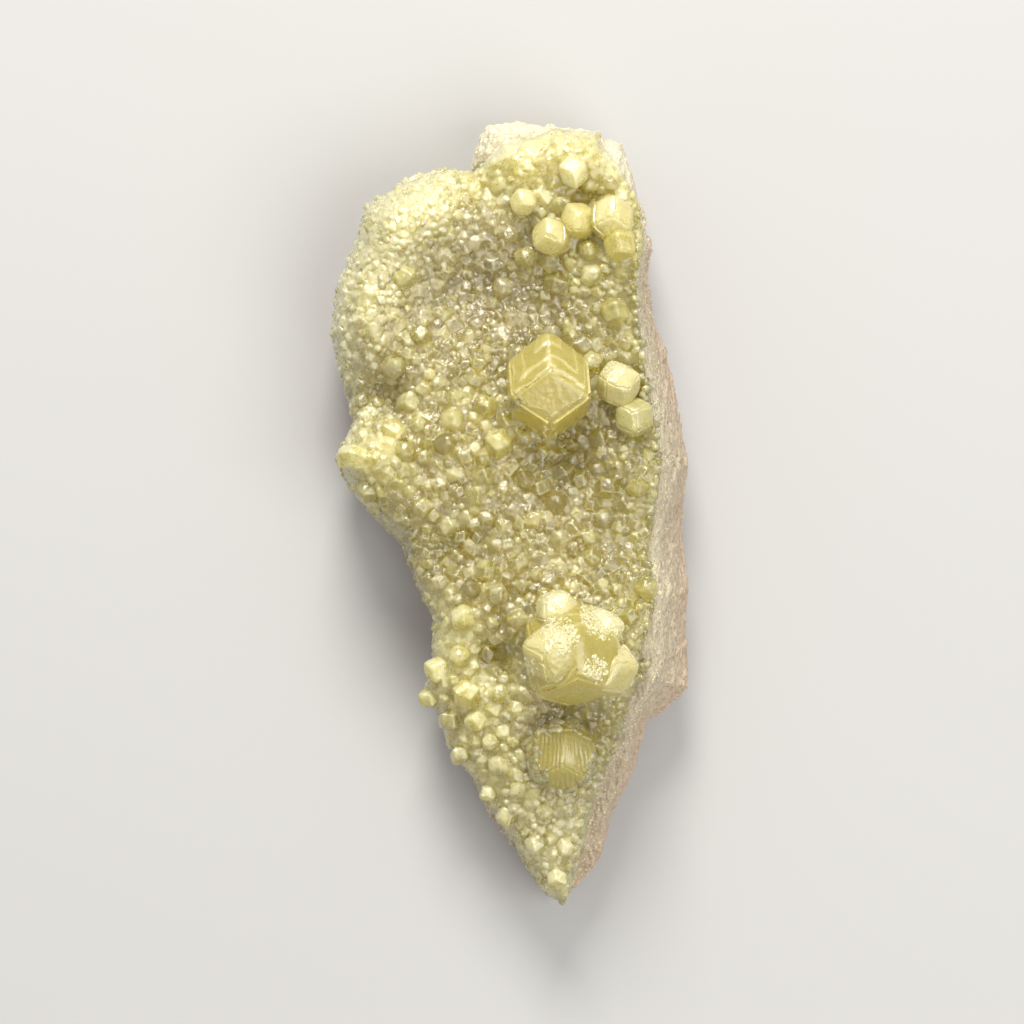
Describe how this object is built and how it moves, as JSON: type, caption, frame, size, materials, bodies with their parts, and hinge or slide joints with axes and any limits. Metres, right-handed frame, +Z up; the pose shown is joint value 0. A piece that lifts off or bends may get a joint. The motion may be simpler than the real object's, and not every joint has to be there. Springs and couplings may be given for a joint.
{
  "type": "grossular and calcite mineral specimen",
  "caption": "Natural mineral specimen: a druse of pale yellow-green grossular garnet crystals on a tapering plate of white calcite, cut flat below.",
  "frame": {"origin": "middle of the bounding box, on the flat cut that the specimen rests on", "axes": "+Z up, away from the cut; +Y from the point of the plate to its broad end; +X to the right, seen from above"},
  "size_m": [0.05, 0.1088, 0.033],
  "materials": {
    "calcite": "granular, matt to satin",
    "grossular": "translucent, glassy faces"
  },
  "bodies": {
    "root": {"calcite_matrix": "calcite", "grossular_druse": "grossular", "crystal_centre": "grossular", "crystals_upper_right": "grossular", "crystal_upper_middle": "grossular", "crystals_right": "grossular", "crystals_lower": "grossular", "crystal_half_buried": "grossular"}
  },
  "joints": []
}
